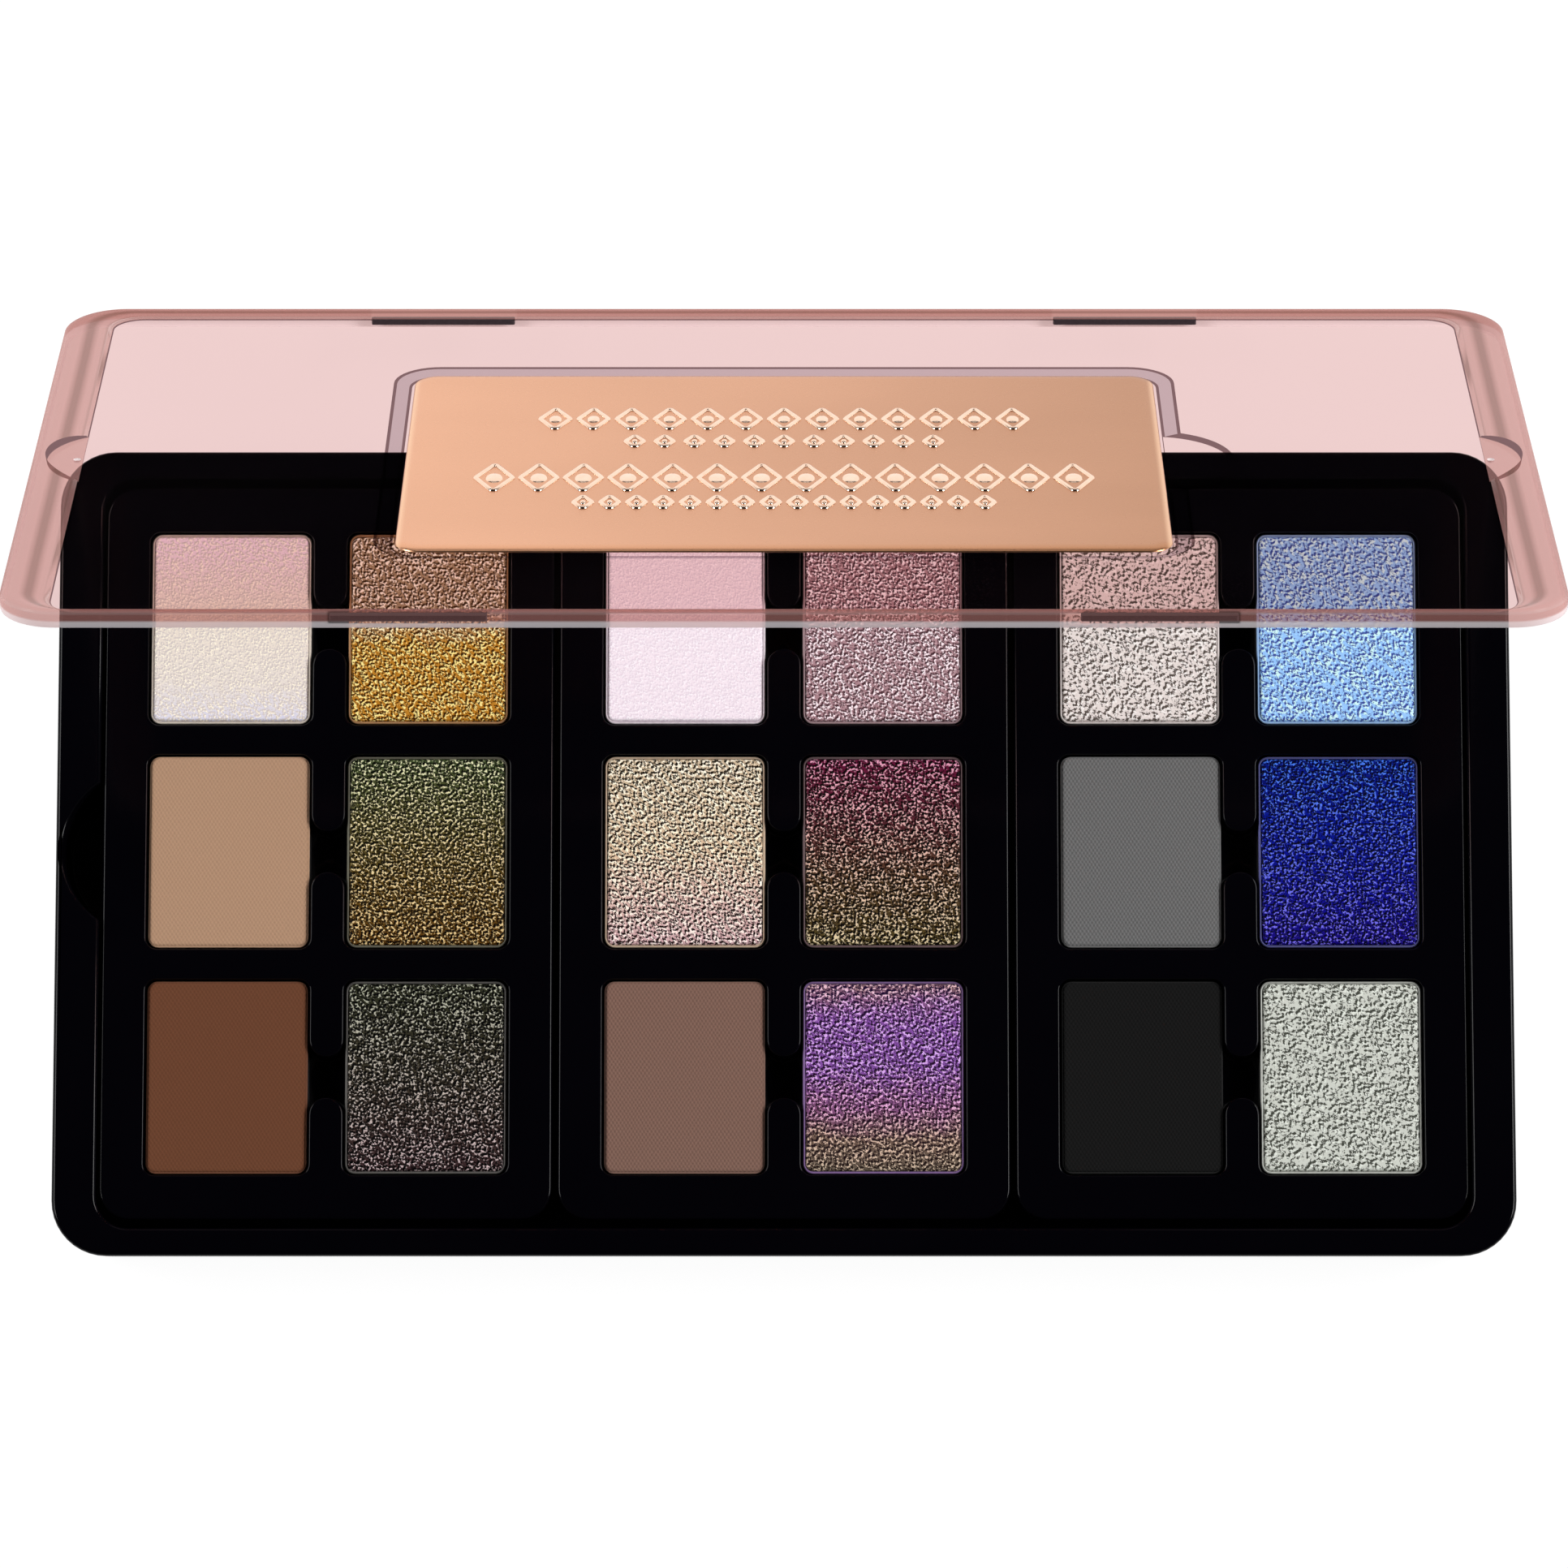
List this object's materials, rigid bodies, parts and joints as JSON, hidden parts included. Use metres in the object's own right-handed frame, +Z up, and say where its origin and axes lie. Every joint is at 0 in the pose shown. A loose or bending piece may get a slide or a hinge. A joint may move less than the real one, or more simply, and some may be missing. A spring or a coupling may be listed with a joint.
{
  "type": "eyeshadow palette",
  "caption": "Wide eyeshadow palette with a gloss-black base, lift-out inserts of magnetic powder pans, and a clear pink-tinted magnetic lid carrying a rose-gold mixing plate.",
  "frame": {"origin": "middle of the base's flat underside", "axes": "+X to the user's right along the palette's length, -Y towards the user, +Z up"},
  "size_m": [0.21, 0.1399, 0.1048],
  "materials": {
    "black_gloss": "high-gloss injection-moulded black",
    "sheet_steel": "thin cold-rolled sheet",
    "magnet": "dark coated bar magnet",
    "magnet_sheet": "flexible magnet sheet",
    "pan_tin": "pressed tin-plated pan",
    "clear_lid": "clear moulded plastic with a light pink tint",
    "rose_gold": "rose-gold brushed metal",
    "powder_left_1a": "pressed powder, pearl cream white",
    "powder_left_1b": "pressed powder, orange gold metallic",
    "powder_left_2a": "pressed powder, matte tan",
    "powder_left_2b": "pressed powder, green to gold duochrome",
    "powder_left_3a": "pressed powder, matte brown",
    "powder_left_3b": "pressed powder, taupe over black green",
    "powder_centre_1a": "pressed powder, white lilac pearl",
    "powder_centre_1b": "pressed powder, mauve rose metallic",
    "powder_centre_2a": "pressed powder, champagne pink foil",
    "powder_centre_2b": "pressed powder, burgundy to olive",
    "powder_centre_3a": "pressed powder, matte mauve brown",
    "powder_centre_3b": "pressed powder, violet to grey gold",
    "powder_right_1a": "pressed powder, silver beige foil",
    "powder_right_1b": "pressed powder, light blue violet pearl",
    "powder_right_2a": "pressed powder, matte grey",
    "powder_right_2b": "pressed powder, cobalt to violet sparkle",
    "powder_right_3a": "pressed powder, matte black",
    "powder_right_3b": "pressed powder, silver mint foil"
  },
  "bodies": {
    "base": {"base_bottom_cover": "black_gloss", "base_tray": "black_gloss", "base_steel_sheet": "sheet_steel", "base_magnet_front_left": "magnet", "base_magnet_front_right": "magnet", "base_magnet_back_left": "magnet", "base_magnet_back_right": "magnet"},
    "lid": {"lid_shell": "clear_lid", "lid_magnet_front_left": "magnet", "lid_magnet_front_right": "magnet", "lid_magnet_back_left": "magnet", "lid_magnet_back_right": "magnet", "plate_magnet": "magnet"},
    "plate": {"mixing_plate": "rose_gold"},
    "insert_left": {"insert_left": "black_gloss", "insert_magnet_sheet_left": "magnet_sheet"},
    "shade_left_1a": {"pan_left_1a": "pan_tin", "cake_left_1a": "powder_left_1a"},
    "shade_left_1b": {"pan_left_1b": "pan_tin", "cake_left_1b": "powder_left_1b"},
    "shade_left_2a": {"pan_left_2a": "pan_tin", "cake_left_2a": "powder_left_2a"},
    "shade_left_2b": {"pan_left_2b": "pan_tin", "cake_left_2b": "powder_left_2b"},
    "shade_left_3a": {"pan_left_3a": "pan_tin", "cake_left_3a": "powder_left_3a"},
    "shade_left_3b": {"pan_left_3b": "pan_tin", "cake_left_3b": "powder_left_3b"},
    "insert_centre": {"insert_centre": "black_gloss", "insert_magnet_sheet_centre": "magnet_sheet"},
    "shade_centre_1a": {"pan_centre_1a": "pan_tin", "cake_centre_1a": "powder_centre_1a"},
    "shade_centre_1b": {"pan_centre_1b": "pan_tin", "cake_centre_1b": "powder_centre_1b"},
    "shade_centre_2a": {"pan_centre_2a": "pan_tin", "cake_centre_2a": "powder_centre_2a"},
    "shade_centre_2b": {"pan_centre_2b": "pan_tin", "cake_centre_2b": "powder_centre_2b"},
    "shade_centre_3a": {"pan_centre_3a": "pan_tin", "cake_centre_3a": "powder_centre_3a"},
    "shade_centre_3b": {"pan_centre_3b": "pan_tin", "cake_centre_3b": "powder_centre_3b"},
    "insert_right": {"insert_right": "black_gloss", "insert_magnet_sheet_right": "magnet_sheet"},
    "shade_right_1a": {"pan_right_1a": "pan_tin", "cake_right_1a": "powder_right_1a"},
    "shade_right_1b": {"pan_right_1b": "pan_tin", "cake_right_1b": "powder_right_1b"},
    "shade_right_2a": {"pan_right_2a": "pan_tin", "cake_right_2a": "powder_right_2a"},
    "shade_right_2b": {"pan_right_2b": "pan_tin", "cake_right_2b": "powder_right_2b"},
    "shade_right_3a": {"pan_right_3a": "pan_tin", "cake_right_3a": "powder_right_3a"},
    "shade_right_3b": {"pan_right_3b": "pan_tin", "cake_right_3b": "powder_right_3b"}
  },
  "joints": [
    {"name": "lid_lift", "type": "hinge", "parent": "base", "child": "lid", "pos_m": [0, 0.05906, -0.00901], "axis": [-1, 0, 0], "range_deg": [-58.27, 0]},
    {"name": "plate_lift", "type": "slide", "parent": "lid", "child": "plate", "axis": [0, 0.8505, 0.5259], "range_m": [0, 0.02]},
    {"name": "insert_left_lift", "type": "slide", "parent": "base", "child": "insert_left", "axis": [0, 0, 1], "range_m": [0, 0.016]},
    {"name": "pan_left_1a_lift", "type": "slide", "parent": "insert_left", "child": "shade_left_1a", "axis": [0, 0, 1], "range_m": [0, 0.012]},
    {"name": "pan_left_1b_lift", "type": "slide", "parent": "insert_left", "child": "shade_left_1b", "axis": [0, 0, 1], "range_m": [0, 0.012]},
    {"name": "pan_left_2a_lift", "type": "slide", "parent": "insert_left", "child": "shade_left_2a", "axis": [0, 0, 1], "range_m": [0, 0.012]},
    {"name": "pan_left_2b_lift", "type": "slide", "parent": "insert_left", "child": "shade_left_2b", "axis": [0, 0, 1], "range_m": [0, 0.012]},
    {"name": "pan_left_3a_lift", "type": "slide", "parent": "insert_left", "child": "shade_left_3a", "axis": [0, 0, 1], "range_m": [0, 0.012]},
    {"name": "pan_left_3b_lift", "type": "slide", "parent": "insert_left", "child": "shade_left_3b", "axis": [0, 0, 1], "range_m": [0, 0.012]},
    {"name": "insert_centre_lift", "type": "slide", "parent": "base", "child": "insert_centre", "axis": [0, 0, 1], "range_m": [0, 0.016]},
    {"name": "pan_centre_1a_lift", "type": "slide", "parent": "insert_centre", "child": "shade_centre_1a", "axis": [0, 0, 1], "range_m": [0, 0.012]},
    {"name": "pan_centre_1b_lift", "type": "slide", "parent": "insert_centre", "child": "shade_centre_1b", "axis": [0, 0, 1], "range_m": [0, 0.012]},
    {"name": "pan_centre_2a_lift", "type": "slide", "parent": "insert_centre", "child": "shade_centre_2a", "axis": [0, 0, 1], "range_m": [0, 0.012]},
    {"name": "pan_centre_2b_lift", "type": "slide", "parent": "insert_centre", "child": "shade_centre_2b", "axis": [0, 0, 1], "range_m": [0, 0.012]},
    {"name": "pan_centre_3a_lift", "type": "slide", "parent": "insert_centre", "child": "shade_centre_3a", "axis": [0, 0, 1], "range_m": [0, 0.012]},
    {"name": "pan_centre_3b_lift", "type": "slide", "parent": "insert_centre", "child": "shade_centre_3b", "axis": [0, 0, 1], "range_m": [0, 0.012]},
    {"name": "insert_right_lift", "type": "slide", "parent": "base", "child": "insert_right", "axis": [0, 0, 1], "range_m": [0, 0.016]},
    {"name": "pan_right_1a_lift", "type": "slide", "parent": "insert_right", "child": "shade_right_1a", "axis": [0, 0, 1], "range_m": [0, 0.012]},
    {"name": "pan_right_1b_lift", "type": "slide", "parent": "insert_right", "child": "shade_right_1b", "axis": [0, 0, 1], "range_m": [0, 0.012]},
    {"name": "pan_right_2a_lift", "type": "slide", "parent": "insert_right", "child": "shade_right_2a", "axis": [0, 0, 1], "range_m": [0, 0.012]},
    {"name": "pan_right_2b_lift", "type": "slide", "parent": "insert_right", "child": "shade_right_2b", "axis": [0, 0, 1], "range_m": [0, 0.012]},
    {"name": "pan_right_3a_lift", "type": "slide", "parent": "insert_right", "child": "shade_right_3a", "axis": [0, 0, 1], "range_m": [0, 0.012]},
    {"name": "pan_right_3b_lift", "type": "slide", "parent": "insert_right", "child": "shade_right_3b", "axis": [0, 0, 1], "range_m": [0, 0.012]}
  ]
}
